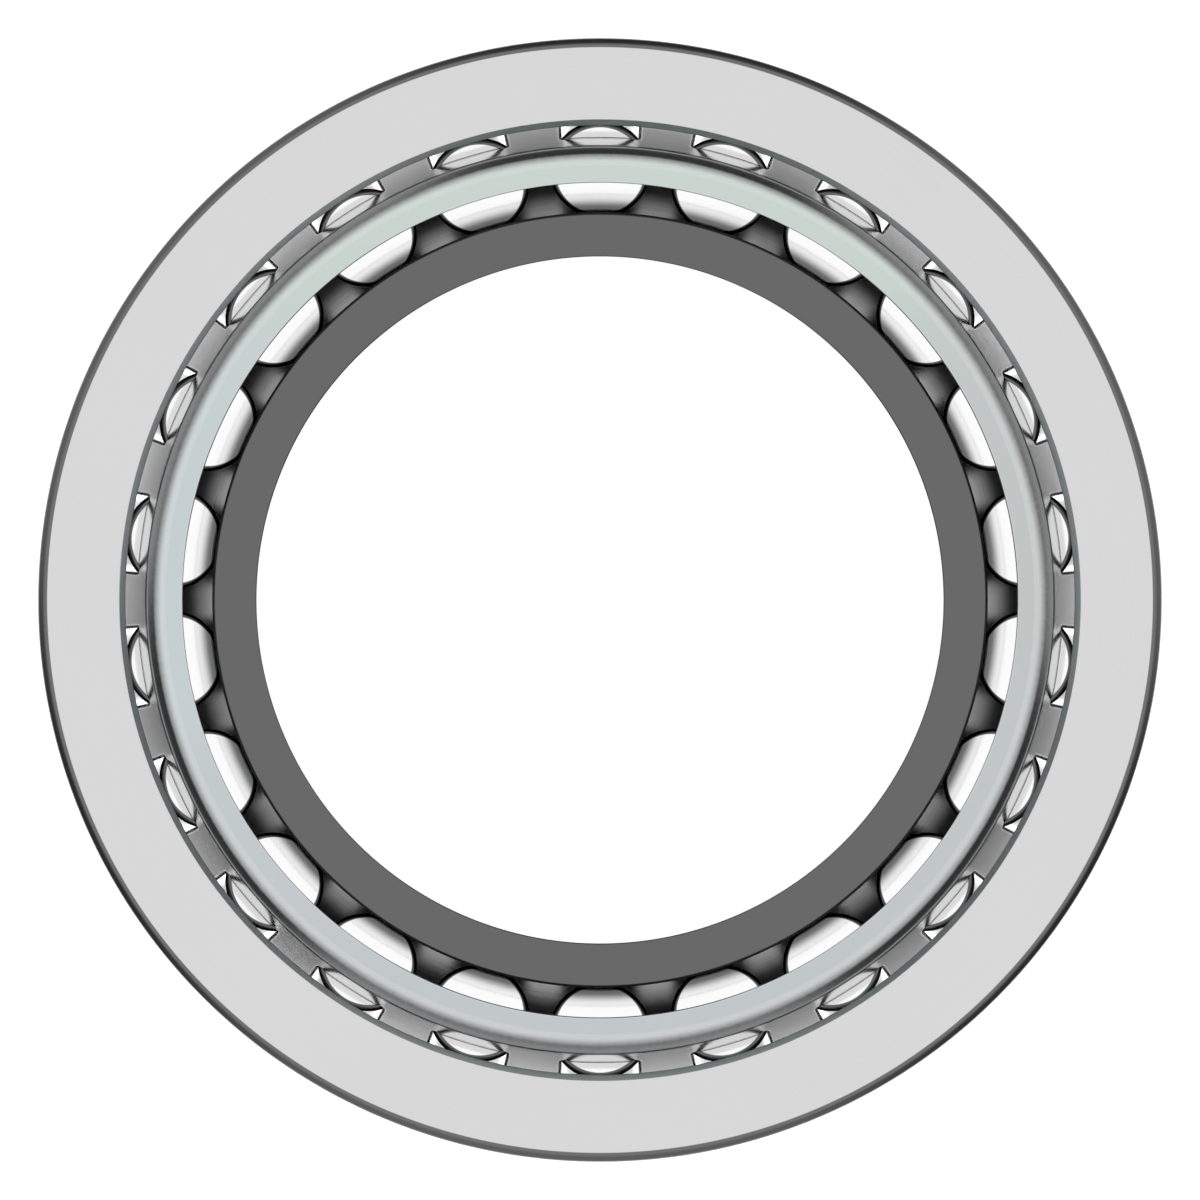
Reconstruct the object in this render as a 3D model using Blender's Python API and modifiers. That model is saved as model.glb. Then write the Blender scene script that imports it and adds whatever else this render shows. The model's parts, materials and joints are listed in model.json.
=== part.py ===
"""Single-row tapered roller bearing, 55 x 90 x 23 mm, with a pressed steel cage.

Run it with blender --background --python part.py, or from Blender's text editor. It is in
metres, with +Z up. The bearing axis is Z, and the origin is the centre of the inner ring's back
face, on which the bearing lies. The small ends of the rollers, the cage flange and the outer
ring's back face look up.

The design rule of a tapered bearing is kept: both raceways, the rollers and the roller axes are
cones that meet in one apex on the bearing axis. Everything is worked out from the bore outwards:
bore, inner ring wall, roller, outer ring wall.
"""

from math import atan, cos, pi, radians, sin, tan

import bmesh
import bpy
from mathutils import Euler, Matrix, Vector

MM = 0.001

# Boundary sizes. The outside diameter is a result: 90 mm.
BORE_DIAMETER = 55 * MM
BEARING_WIDTH = 23 * MM  # from the inner ring's back face to the outer ring's back face
CUP_FRONT_HEIGHT = 5.5 * MM  # how far the outer ring's front face is above the inner ring's back face

# Ring walls and ribs
INNER_WALL = 2.95 * MM  # inner ring under the small ends of the rollers
OUTER_WALL = 2.452 * MM  # outer ring at its thin edge, the front face
FRONT_RIB_WIDTH = 3.2 * MM
FRONT_RIB_HEIGHT = 0.69 * MM
BACK_RIB_WIDTH = 4.1 * MM
BACK_RIB_HEIGHT = 2.9 * MM

# Rollers
ROLLER_COUNT = 22
ROLLER_SMALL_DIAMETER = 8.0 * MM
ROLLER_TILT = radians(13.5)  # between a roller's axis and the bearing axis
ROLLER_EDGE_ROUND = 0.4 * MM

# Cage
CAGE_SHEET = 1.0 * MM
CAGE_STANDOUT = 1.05 * MM  # how far the flange stands above the rings' faces
CAGE_BEND_RADIUS = 1.2 * MM  # outside of the bend between the flange and the wall
CAGE_RIM_WIDTH = 3.0 * MM  # closed band below the pockets

# Clearances
RUNNING_CLEARANCE = 0.04 * MM  # roller to each raceway
SMALL_END_CLEARANCE = 0.4 * MM  # roller to the front rib
LARGE_END_CLEARANCE = 0.1 * MM  # roller to the back rib, which guides it
POCKET_CLEARANCE = 0.12 * MM  # roller's side to its pocket
POCKET_SMALL_END_CLEARANCE = 0.2 * MM
POCKET_LARGE_END_CLEARANCE = 0.3 * MM
CAGE_CUP_CLEARANCE = 1.32 * MM  # cage wall to the outer raceway
CAGE_RIB_CLEARANCE = 2.37 * MM  # cage flange to the front rib

# Edges
CUP_EDGE_ROUND = 0.7 * MM  # outside edges of the outer ring
CUP_BACK_CHAMFER = 0.65 * MM  # where the outer raceway runs out in the back face
CUP_FRONT_CHAMFER = 0.3 * MM
RIB_CHAMFER = 0.2 * MM
BACK_RIB_CHAMFER = 0.4 * MM
BORE_FRONT_CHAMFER = 0.25 * MM
BORE_BACK_ROUND = 1.5 * MM
GROOVE_WIDTH = 0.7 * MM  # grinding relief where a rib meets the inner raceway
GROOVE_DEPTH = 0.3 * MM

# Facets of the round pieces. Four facets of a ring to each roller keep all the pockets alike.
RING_STEPS = 4 * ROLLER_COUNT
ROLLER_STEPS = 20
POCKET_STEPS = 32
FILLET_CHORDS = 3
BEND_CHORDS = 5
SHARP_ANGLE = radians(35)

# The rollers' place, in the half plane of radius and height through one roller's axis
BORE_RADIUS = BORE_DIAMETER / 2
SMALL_RADIUS = ROLLER_SMALL_DIAMETER / 2
TOWARDS_SMALL_END = Vector((-sin(ROLLER_TILT), cos(ROLLER_TILT)))
FRONT_RIB_FOOT = BEARING_WIDTH - FRONT_RIB_WIDTH
SMALL_END = Vector(
    (
        BORE_RADIUS + INNER_WALL + (SMALL_RADIUS + RUNNING_CLEARANCE) * cos(ROLLER_TILT),
        FRONT_RIB_FOOT - SMALL_END_CLEARANCE / cos(ROLLER_TILT) + SMALL_RADIUS * sin(ROLLER_TILT),
    )
)

# The common apex makes the roller's taper follow from its place
APEX_HEIGHT = SMALL_END.y + SMALL_END.x / tan(ROLLER_TILT)
HALF_TAPER = atan(SMALL_RADIUS * sin(ROLLER_TILT) / SMALL_END.x)
OUTER_ANGLE = ROLLER_TILT + HALF_TAPER
INNER_ANGLE = ROLLER_TILT - HALF_TAPER

# The back rib ends the roller: the inner corner of its large end is a clearance above the rib's foot
ROLLER_LENGTH = (
    SMALL_END.y
    - SMALL_RADIUS * sin(ROLLER_TILT)
    - BACK_RIB_WIDTH
    - LARGE_END_CLEARANCE / cos(ROLLER_TILT)
) / (cos(ROLLER_TILT) + tan(HALF_TAPER) * sin(ROLLER_TILT))
LARGE_RADIUS = SMALL_RADIUS + ROLLER_LENGTH * tan(HALF_TAPER)
LARGE_END = SMALL_END - ROLLER_LENGTH * TOWARDS_SMALL_END
ROLLER_MIDDLE = (SMALL_END + LARGE_END) / 2


def cone_radius(height, angle, offset):
    """Radius at a height of the cone of this half angle, pushed out by an offset along its normal."""
    return (APEX_HEIGHT - height) * tan(angle) + offset / cos(angle)


def outer_raceway(height):
    return cone_radius(height, OUTER_ANGLE, RUNNING_CLEARANCE)


def inner_raceway(height):
    return cone_radius(height, INNER_ANGLE, -RUNNING_CLEARANCE)


def cage_wall(height):
    return cone_radius(height, OUTER_ANGLE, RUNNING_CLEARANCE - CAGE_CUP_CLEARANCE)


def end_plane_height(radius, end, gap):
    """Height at a radius of the plane across a roller's end, moved along the roller's axis by a gap."""
    return end.y + gap / cos(ROLLER_TILT) + (radius - end.x) * tan(ROLLER_TILT)


OUTSIDE_RADIUS = outer_raceway(CUP_FRONT_HEIGHT) + OUTER_WALL
FRONT_RIB_RADIUS = inner_raceway(FRONT_RIB_FOOT) + FRONT_RIB_HEIGHT
BACK_RIB_RADIUS = inner_raceway(BACK_RIB_WIDTH) + BACK_RIB_HEIGHT


def corner(radius, height, cut=0.0, chords=1):
    """A point of an outline. Its corner is cut back by a length along both sides: one chord makes
    a chamfer, and more chords make a round."""
    return Vector((radius, height)), cut, chords


def outline(corners, closed=True):
    """The corners as a list of points, with each cut corner replaced by its chamfer or arc."""
    points = []
    last = len(corners) - 1
    for index, (here, cut, chords) in enumerate(corners):
        if cut == 0 or (not closed and index in (0, last)):
            points.append(here)
            continue
        before = corners[index - 1][0]
        after = corners[(index + 1) % len(corners)][0]
        back, on = (before - here).normalized(), (after - here).normalized()
        half = back.angle(on) / 2
        middle = here + (back + on).normalized() * cut / cos(half)
        start, end = here + back * cut - middle, here + on * cut - middle
        for step in range(chords + 1):
            points.append(middle + start.length * start.slerp(end, step / chords))
    return points


def steel(name, colour, roughness):
    material = bpy.data.materials.new(name)
    material.use_nodes = True
    shader = material.node_tree.nodes["Principled BSDF"]
    shader.inputs["Base Color"].default_value = (*colour, 1.0)
    shader.inputs["Metallic"].default_value = 1.0
    shader.inputs["Roughness"].default_value = roughness
    material.diffuse_color = (*colour, 1.0)
    return material


def collection(name):
    made = bpy.data.collections.new(name)
    bpy.context.scene.collection.children.link(made)
    return made


def profile_object(name, points, closed, home):
    """A mesh of edges only, in the XZ plane at +X, running down its outer side: the start of
    every turned piece."""
    mesh = bpy.data.meshes.new(name)
    edges = [(i, i + 1) for i in range(len(points) - 1)]
    if closed:
        edges.append((len(points) - 1, 0))
    mesh.from_pydata([(p.x, 0.0, p.y) for p in points], edges, [])
    piece = bpy.data.objects.new(name, mesh)
    home.objects.link(piece)
    return piece


def add_screw(piece, steps):
    screw = piece.modifiers.new("Screw", "SCREW")
    screw.axis = "Z"
    screw.angle = 2 * pi
    screw.steps = steps
    screw.render_steps = steps
    screw.use_merge_vertices = True
    screw.merge_threshold = 0.00001
    screw.use_smooth_shade = True


def settle(piece, material):
    """Puts the result of the modifiers in the mesh, with its faces pointing out and its edges sharp."""
    bpy.context.view_layer.update()
    evaluated = piece.evaluated_get(bpy.context.evaluated_depsgraph_get())
    mesh = bpy.data.meshes.new_from_object(evaluated)
    mesh.name = piece.name
    raw = piece.data
    piece.modifiers.clear()
    piece.data = mesh
    bpy.data.meshes.remove(raw)
    faces = bmesh.new()
    faces.from_mesh(mesh)
    bmesh.ops.recalc_face_normals(faces, faces=faces.faces)
    faces.to_mesh(mesh)
    faces.free()
    mesh.shade_smooth()
    mesh.set_sharp_from_angle(angle=SHARP_ANGLE)
    mesh.materials.clear()
    mesh.materials.append(material)
    return piece


def turned(name, points, closed, steps, material, home):
    piece = profile_object(name, points, closed, home)
    add_screw(piece, steps)
    return settle(piece, material)


def roller_place(index):
    """Where roller number index sits. Its own axis is Z, with the small end up, and number 0 is at +Y."""
    turn = Euler((0, 0, -index * 2 * pi / ROLLER_COUNT)).to_matrix().to_4x4()
    at_y = Matrix.Translation((0, ROLLER_MIDDLE.x, ROLLER_MIDDLE.y))
    return turn @ at_y @ Matrix.Rotation(ROLLER_TILT, 4, "X")


def outer_ring(material, home):
    """The cup: a plain conical raceway that opens towards the front face, which looks down."""
    points = outline(
        [
            corner(outer_raceway(BEARING_WIDTH), BEARING_WIDTH, CUP_BACK_CHAMFER),
            corner(OUTSIDE_RADIUS, BEARING_WIDTH, CUP_EDGE_ROUND, FILLET_CHORDS),
            corner(OUTSIDE_RADIUS, CUP_FRONT_HEIGHT, CUP_EDGE_ROUND, FILLET_CHORDS),
            corner(outer_raceway(CUP_FRONT_HEIGHT), CUP_FRONT_HEIGHT, CUP_FRONT_CHAMFER),
        ]
    )
    return turned("outer_ring", points, True, RING_STEPS, material, home)


def groove(foot, direction):
    """The grinding relief at a rib's foot, as outline corners from the rib to the raceway. The
    direction is -1 where the raceway lies below the rib, and 1 where it lies above."""
    floor = foot + direction * GROOVE_WIDTH
    end = floor + direction * GROOVE_DEPTH
    return [
        corner(inner_raceway(foot) - GROOVE_DEPTH, foot),
        corner(inner_raceway(floor) - GROOVE_DEPTH, floor),
        corner(inner_raceway(end), end),
    ]


def inner_ring(material, home):
    """The cone: a conical raceway between a low front rib, which keeps the rollers on, and a high
    back rib, which guides their large ends. Both ribs' flanks are square to the rollers' axes."""
    points = outline(
        [
            corner(BORE_RADIUS, BEARING_WIDTH, BORE_FRONT_CHAMFER),
            corner(FRONT_RIB_RADIUS, BEARING_WIDTH, RIB_CHAMFER),
            corner(FRONT_RIB_RADIUS, end_plane_height(FRONT_RIB_RADIUS, SMALL_END, SMALL_END_CLEARANCE)),
            *groove(FRONT_RIB_FOOT, -1),
            *reversed(groove(BACK_RIB_WIDTH, 1)),
            corner(
                BACK_RIB_RADIUS,
                end_plane_height(BACK_RIB_RADIUS, LARGE_END, -LARGE_END_CLEARANCE),
                BACK_RIB_CHAMFER,
            ),
            corner(BACK_RIB_RADIUS, 0, BACK_RIB_CHAMFER),
            corner(BORE_RADIUS, 0, BORE_BACK_ROUND, FILLET_CHORDS),
        ]
    )
    return turned("inner_ring", points, True, RING_STEPS, material, home)


def rollers(material, home):
    """One turned roller, copied round the bearing. Each copy's origin is on its own axis."""
    half = ROLLER_LENGTH / 2
    points = outline(
        [
            corner(0, half),
            corner(SMALL_RADIUS, half, ROLLER_EDGE_ROUND, FILLET_CHORDS - 1),
            corner(LARGE_RADIUS, -half, ROLLER_EDGE_ROUND, FILLET_CHORDS - 1),
            corner(0, -half),
        ],
        closed=False,
    )
    first = turned("roller_01", points, False, ROLLER_STEPS, material, home)
    first.matrix_world = roller_place(0)
    for index in range(1, ROLLER_COUNT):
        copy = bpy.data.objects.new(f"roller_{index + 1:02d}", first.data)
        copy.matrix_world = roller_place(index)
        home.objects.link(copy)


def pocket_cutters(home):
    """A roller with clearance all round, one for each pocket."""
    low = -ROLLER_LENGTH / 2 - POCKET_LARGE_END_CLEARANCE
    high = ROLLER_LENGTH / 2 + POCKET_SMALL_END_CLEARANCE
    shape = bmesh.new()
    bmesh.ops.create_cone(
        shape,
        cap_ends=True,
        segments=POCKET_STEPS,
        radius1=LARGE_RADIUS + POCKET_CLEARANCE + POCKET_LARGE_END_CLEARANCE * tan(HALF_TAPER),
        radius2=SMALL_RADIUS + POCKET_CLEARANCE - POCKET_SMALL_END_CLEARANCE * tan(HALF_TAPER),
        depth=high - low,
        matrix=Matrix.Translation((0, 0, (low + high) / 2)),
    )
    mesh = bpy.data.meshes.new("pocket_cutter")
    shape.to_mesh(mesh)
    shape.free()
    for index in range(ROLLER_COUNT):
        cutter = bpy.data.objects.new(f"pocket_cutter_{index + 1:02d}", mesh)
        cutter.matrix_world = roller_place(index)
        cutter.hide_render = True
        cutter.display_type = "WIRE"
        home.objects.link(cutter)


def cage(material, home, cutters):
    """A cone of sheet pressed inwards to a flange over the rollers' small ends, with a pocket cut
    for each roller. The sheet lies outside the rollers' axes, so that it holds them on the cone."""
    top = BEARING_WIDTH + CAGE_STANDOUT
    rim_end = LARGE_END - (POCKET_LARGE_END_CLEARANCE + CAGE_RIM_WIDTH) * TOWARDS_SMALL_END
    rim_height = rim_end.y + (cage_wall(rim_end.y) - rim_end.x) * tan(ROLLER_TILT)
    bend_cut = CAGE_BEND_RADIUS * tan((pi / 2 - OUTER_ANGLE) / 2)
    points = outline(
        [
            corner(FRONT_RIB_RADIUS + CAGE_RIB_CLEARANCE, top),
            corner(cage_wall(top), top, bend_cut, BEND_CHORDS),
            corner(cage_wall(rim_height), rim_height),
        ],
        closed=False,
    )
    piece = profile_object("cage", points, False, home)
    add_screw(piece, RING_STEPS)
    sheet = piece.modifiers.new("Sheet", "SOLIDIFY")
    sheet.thickness = CAGE_SHEET
    sheet.offset = -1
    sheet.use_even_offset = True
    pockets = piece.modifiers.new("Pockets", "BOOLEAN")
    pockets.operation = "DIFFERENCE"
    pockets.solver = "EXACT"
    pockets.operand_type = "COLLECTION"
    pockets.collection = cutters
    return settle(piece, material)


def main():
    for old in list(bpy.data.objects):
        bpy.data.objects.remove(old)
    home = collection("tapered_roller_bearing")
    cutters = collection("cutters")
    outer_ring(steel("outer_ring_steel", (0.68, 0.68, 0.68), 0.3), home)
    inner_ring(steel("inner_ring_steel", (0.14, 0.14, 0.14), 0.3), home)
    pocket_cutters(cutters)
    cage(steel("cage_steel", (0.55, 0.60, 0.585), 0.2), home, cutters)
    rollers(steel("roller_steel", (0.9, 0.9, 0.9), 0.08), home)


main()
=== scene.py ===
# %% [markdown]
# # A tapered roller bearing
#
# The bearing has four kinds of piece: an outer ring, an inner ring, a row of tapered rollers, and
# a cage pressed from sheet steel that keeps the rollers apart. Three of them are round, so they
# start as an outline that is turned about an axis. The cage is a sheet that is cut and folded.
#
# A working model of the bearing, made before this script, fixes every size. It is loaded first, as
# a frame. The pieces made here are the fine ones that are shown, and each takes the place of its
# plain double in the frame.

# %% Load the frame
import json
from math import acos, atan, cos, degrees, pi, radians, sin, tan

import bmesh
import bpy
import numpy as np
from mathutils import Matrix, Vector


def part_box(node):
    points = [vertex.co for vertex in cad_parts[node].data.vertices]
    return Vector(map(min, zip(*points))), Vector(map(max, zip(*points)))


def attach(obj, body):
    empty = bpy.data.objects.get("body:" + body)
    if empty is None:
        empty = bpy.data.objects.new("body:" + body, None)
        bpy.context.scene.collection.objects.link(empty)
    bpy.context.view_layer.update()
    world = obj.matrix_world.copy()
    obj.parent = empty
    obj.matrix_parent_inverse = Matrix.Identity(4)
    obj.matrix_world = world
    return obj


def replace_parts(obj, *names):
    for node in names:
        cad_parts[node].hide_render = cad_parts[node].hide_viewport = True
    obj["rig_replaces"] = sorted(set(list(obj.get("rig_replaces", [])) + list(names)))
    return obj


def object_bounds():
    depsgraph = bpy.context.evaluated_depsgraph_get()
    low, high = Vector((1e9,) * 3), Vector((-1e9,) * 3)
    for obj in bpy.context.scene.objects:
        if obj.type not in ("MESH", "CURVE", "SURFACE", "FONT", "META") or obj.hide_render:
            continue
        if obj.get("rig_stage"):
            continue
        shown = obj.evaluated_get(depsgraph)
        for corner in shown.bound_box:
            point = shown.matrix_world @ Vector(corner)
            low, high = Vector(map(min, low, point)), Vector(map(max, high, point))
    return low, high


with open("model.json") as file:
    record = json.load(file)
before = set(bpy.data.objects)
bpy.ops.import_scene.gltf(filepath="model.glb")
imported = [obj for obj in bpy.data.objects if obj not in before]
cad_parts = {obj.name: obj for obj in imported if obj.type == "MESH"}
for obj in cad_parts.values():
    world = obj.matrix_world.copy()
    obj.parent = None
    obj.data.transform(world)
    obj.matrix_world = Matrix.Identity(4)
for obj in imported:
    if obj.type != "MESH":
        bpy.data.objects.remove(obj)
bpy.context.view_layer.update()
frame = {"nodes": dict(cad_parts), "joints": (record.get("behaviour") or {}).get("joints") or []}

MM = 0.001


def in_mm(*lengths):
    """Lengths in mm, rounded, for what the cells print."""
    return [round(float(length) / MM, 2) for length in lengths]


# %% [markdown]
# ## Sizes read from the frame
#
# One rule ties a tapered bearing together: both raceways, the rollers and the rollers' axes are
# cones that meet in a single point on the bearing axis, the apex. A roller's joint says where its
# axis runs, and so gives the apex, and the roller's own points give its taper. Reading them here,
# instead of writing the numbers down again, keeps these pieces in step with the working model.

# %% The rollers' cone
rollers = sorted(name for name in frame["nodes"] if name.startswith("roller_"))
joints = {joint["child"]: joint for joint in frame["joints"]}
PITCH = 2 * pi / len(rollers)


def node_points(node):
    """The corner points of a frame node, as rows of an array."""
    return np.array([vertex.co for vertex in frame["nodes"][node].data.vertices], float)


roller_middle = Vector(joints[rollers[0]]["pos_m"])
roller_axis = Vector(joints[rollers[0]]["axis"])
TILT = acos(roller_axis.z)
MIDDLE_RADIUS = roller_middle.y
APEX_HEIGHT = roller_middle.z + MIDDLE_RADIUS / tan(TILT)
APEX_DISTANCE = MIDDLE_RADIUS / sin(TILT)

from_middle = node_points(rollers[0]) - np.array(roller_middle)
along = from_middle @ np.array(roller_axis)
across = np.sqrt((from_middle**2).sum(axis=1) - along**2)
HALF_LENGTH = float(along.max())
TAPER = atan(float((across / (APEX_DISTANCE - along)).max()))
SMALL_RADIUS = (APEX_DISTANCE - HALF_LENGTH) * tan(TAPER)
LARGE_RADIUS = (APEX_DISTANCE + HALF_LENGTH) * tan(TAPER)
print(len(rollers), "rollers, ends", in_mm(2 * SMALL_RADIUS, 2 * LARGE_RADIUS), "mm across")
print("length", in_mm(2 * HALF_LENGTH), "mm, tilt", round(degrees(TILT), 2), "degrees")

# %% [markdown]
# The two raceways are cones through the same apex, one roller's radius outside and inside the
# rollers' axes, with a little running room. The rings' heights, bore and outside come from the
# boxes and the points of their nodes.

# %% The raceways and the rings
RUNNING_ROOM = 0.04 * MM
OUTER_ANGLE = TILT + TAPER
INNER_ANGLE = TILT - TAPER


def cone_radius(height, angle, offset):
    """Radius at a height of a cone through the apex, moved out along its normal by an offset."""
    return (APEX_HEIGHT - height) * tan(angle) + offset / cos(angle)


def outer_raceway(height):
    return cone_radius(height, OUTER_ANGLE, RUNNING_ROOM)


def inner_raceway(height):
    return cone_radius(height, INNER_ANGLE, -RUNNING_ROOM)


def radii_at(node, height):
    """The smallest and the largest distance from the bearing axis of a node's points at a height."""
    points = node_points(node)
    level = points[abs(points[:, 2] - height) < 0.01 * MM]
    away = np.hypot(level[:, 0], level[:, 1])
    return float(away.min()), float(away.max())


outer_low, outer_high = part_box("outer_ring")
inner_low, inner_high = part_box("inner_ring")
OUTSIDE_RADIUS = outer_high.x
BACK_RIB_RADIUS = inner_high.x
BORE_RADIUS = float(np.hypot(*node_points("inner_ring")[:, :2].T).min())
RIB_EDGE = 0.2 * MM
FRONT_RIB_RADIUS = radii_at("inner_ring", inner_high.z)[1] + RIB_EDGE
print("bore and outside diameter", in_mm(2 * BORE_RADIUS, 2 * OUTSIDE_RADIUS), "mm")

# %% [markdown]
# ## Nodes written as sums
#
# A steel's finish is mostly small changes of roughness and height, which are easier to read as
# sums than as a picture of nodes. This class wraps a socket, so that `1 - mask` or `lines * 0.3`
# adds the Math node that it stands for. Every other node, of a material or of a shape, comes from
# its one method, `node`.

# %% A socket that can be added up


def pick(sockets, name):
    """A node's socket by its number, or by its name among those in use."""
    if isinstance(name, int):
        return sockets[name]
    return next(socket for socket in sockets if socket.enabled and socket.name == name)


class Wire:
    """The output socket of a node. Sums on it add Math nodes to its tree."""

    def __init__(self, socket):
        self.socket = socket

    @classmethod
    def node(cls, tree, kind, settings=None, sockets=None, out=0):
        """Adds a node, with its settings first, then the values or wires of its input sockets."""
        made = tree.nodes.new(kind)
        for name, value in (settings or {}).items():
            setattr(made, name, value)
        for name, value in (sockets or {}).items():
            if isinstance(value, Wire):
                tree.links.new(value.socket, pick(made.inputs, name))
            else:
                pick(made.inputs, name).default_value = value
        return cls(pick(made.outputs, out)) if len(made.outputs) else None

    def maths(self, operation, *values):
        tree = self.socket.id_data
        return Wire.node(tree, "ShaderNodeMath", {"operation": operation}, dict(enumerate(values)))

    def __add__(self, other):
        return self.maths("ADD", self, other)

    def __radd__(self, other):
        return self.maths("ADD", other, self)

    def __sub__(self, other):
        return self.maths("SUBTRACT", self, other)

    def __rsub__(self, other):
        return self.maths("SUBTRACT", other, self)

    def __mul__(self, other):
        return self.maths("MULTIPLY", self, other)

    def __rmul__(self, other):
        return self.maths("MULTIPLY", other, self)


print("sums on sockets are ready")

# %% [markdown]
# ## What every finish starts from
#
# All the pieces are bare steel, so their materials share a start, a metal shader, and an end, where
# the colour, the roughness and the relief are fed to it. Between them, noises make the marks, and
# smooth steps say where a finish begins and ends. Small functions for these keep each finish short
# enough to read as a recipe.

# %% The start of a metal and its noises


def new_metal(name):
    """A metal material, with its tree, its shader and the place of each point on the piece."""
    material = bpy.data.materials.new(name)
    material.use_nodes = True
    tree = material.node_tree
    shader = tree.nodes["Principled BSDF"]
    shader.inputs["Metallic"].default_value = 1.0
    place = Wire.node(tree, "ShaderNodeTexCoord", out="Object")
    return material, tree, shader, place


def attribute(tree, name):
    return Wire.node(tree, "ShaderNodeAttribute", {"attribute_name": name}, out="Fac")


def noise(tree, dimensions, **sockets):
    return Wire.node(tree, "ShaderNodeTexNoise", {"noise_dimensions": dimensions}, sockets, "Fac")


def ease(value, low, high):
    """0 up to low, 1 from high on, and a smooth rise between. High may be the lower of the two."""
    settings = {"interpolation_type": "SMOOTHSTEP"}
    sockets = {"Value": value, "From Min": low, "From Max": high}
    return Wire.node(value.socket.id_data, "ShaderNodeMapRange", settings, sockets, "Result")


print("ready: a metal's start, its attributes, its noises and its smooth steps")

# %% [markdown]
# A metal's end feeds three things only: the colour, the roughness and the relief. The relief is a
# Bump node, whose depth is the real height of the marks, a few thousandths of a millimetre.

# %% Colours and the end of a metal


def mix(tree, factor, first, second):
    """A colour between two others, which are colours or wires."""
    colours = [tuple(part) + (1.0,) if isinstance(part, tuple) else part for part in (first, second)]
    sockets = {"Factor": factor, "A": colours[0], "B": colours[1]}
    return Wire.node(tree, "ShaderNodeMix", {"data_type": "RGBA"}, sockets, "Result")


def finish_metal(tree, shader, base, rough, height, depth, strength):
    """Feeds a metal's colour, roughness and relief. The depth is the relief's real height."""
    relief = {"Strength": strength, "Distance": depth, "Height": height}
    bump = Wire.node(tree, "ShaderNodeBump", sockets=relief, out="Normal")
    tree.links.new(base.socket, shader.inputs["Base Color"])
    tree.links.new(rough.socket, shader.inputs["Roughness"])
    tree.links.new(bump.socket, shader.inputs["Normal"])


print("ready: mixed colours and a metal's end")

# %% [markdown]
# ## The finish of ground steel
#
# The rings and rollers are ground on a machine that turns them, so their marks run round the
# piece. Each turned piece carries an attribute, the distance in mm along its outline. A noise that
# reads only this number is the same all the way round, as a grinding mark is, and it follows the
# outline over faces, rounds and cones alike, which a pattern in space would not do. The marks
# change the height and the roughness a little, and a slow noise in space makes the gloss uneven,
# as a film of oil does. A second attribute marks the rounds and chamfers, which are painted darker:
# partly the duller surface they keep from turning before hardening, as they are never ground, and
# partly painted shade for the dark lines along rounded edges. Where a stretch of the outline has
# a colour of its own, it is a band, which is placed by the same distance along the outline.

# %% Ground steel


def ground_steel(name, grey, gloss, marks, skin_and_shade, bands):
    """Steel with grinding marks round the piece. The gloss is its mean roughness, marks is how much
    they show in it, and skin is how much of the colour the rounds and chamfers keep, which are darker
    partly because they are never ground and partly as painted shade. A band is a stretch
    of another colour: where it starts along the outline, where it begins to fade, and its end."""
    material, tree, shader, place = new_metal(name)
    run, edge = attribute(tree, "outline_mm"), attribute(tree, "edge")
    coarse = noise(tree, "1D", W=run, Scale=1.0, Detail=1.0)
    fine = noise(tree, "1D", W=run, Scale=3.0, Detail=1.0)
    film = noise(tree, "3D", Vector=place, Scale=55.0, Detail=3.0)
    lines = coarse * 0.45 + fine * 0.55
    shade = (lines - 0.5) * (2 * marks) + (film - 0.5) * 0.25 + 0.5
    ground = mix(tree, shade, (0.85 * grey,) * 3, (1.15 * grey,) * 3)
    # The rounds and chamfers get a darker colour: partly their duller unground surface, partly painted
    # shade.
    base = mix(tree, edge, ground, (skin_and_shade * grey,) * 3)
    for start, fade, end, colour in bands:
        base = mix(tree, ease(run, start, start + 0.2) * ease(run, end, fade), base, colour)
    rough = (film * 0.5 + (lines - 0.5) * (5 * marks) + 0.75) * gloss
    finish_metal(tree, shader, base, rough, lines, 0.003 * MM, 0.2)
    return material


print("ready: ground steel")

# %% [markdown]
# ## The steels of the two rings
#
# The outer ring is light grey and satin. Its outline starts at the front end of the raceway, then
# comes a chamfer, the back face, a round, and the outside, which is a shade darker from handling.
# The inner ring is dark. Its outline starts at the bore and crosses the narrow front face to the
# rib, whose outside is polished bright, so that the rollers' ends mirror it as a soft shadow that
# fades. The numbers below count the mm along each outline, with what its rounds and chamfers take.

# %% The steels of the two rings
ring_width = (outer_high.z - outer_low.z) / MM
chamfer = ring_width / cos(OUTER_ANGLE) - 0.5
outside = chamfer + (OUTSIDE_RADIUS - outer_raceway(outer_high.z)) / MM + 0.55
outside_end = outside + ring_width - 1.4
cup_bands = [
    # The first band paints the back chamfer and the end of the raceway a cyan grey: a painted reflection
    # of the cage's tint that the chamfer mirrors.
    (chamfer - 0.2, chamfer + 0.82, chamfer + 0.88, (0.63, 0.67, 0.67)),
    (outside - 0.1, outside_end, outside_end + 0.1, (0.45,) * 3),
]
outer_steel = ground_steel("outer ring, ground steel", 0.705, 0.3, 0.08, 0.24, cup_bands)

rib = (FRONT_RIB_RADIUS - BORE_RADIUS) / MM
cone_bands = [(rib + 0.1, rib + 0.6, rib + 2.5, (0.98,) * 3)]
inner_steel = ground_steel("inner ring, dark ground steel", 0.147, 0.32, 0.12, 0.6, cone_bands)
print("made:", outer_steel.name, "/", inner_steel.name)

# %% [markdown]
# ## Outlines
#
# A turned piece is drawn as the half outline that a lathe would follow. An edge is never quite
# sharp, so each corner says how far it is cut back along both sides and in how many chords: one
# chord is a chamfer, and more are a round. Smooth shading would spread a round's bend over the
# flat face next to it, so every round gets a holding point close beside each end, and a chamfer
# two more within it.

# %% Corners, rounds and outlines
HOLD = 0.06 * MM
ROUND = 6
STEPS = 16 * len(rollers)


def corner(radius, height, cut=0.08 * MM, chords=ROUND, skin_and_shade=1.0):
    return Vector((radius, height)), cut, chords, skin_and_shade


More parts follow.
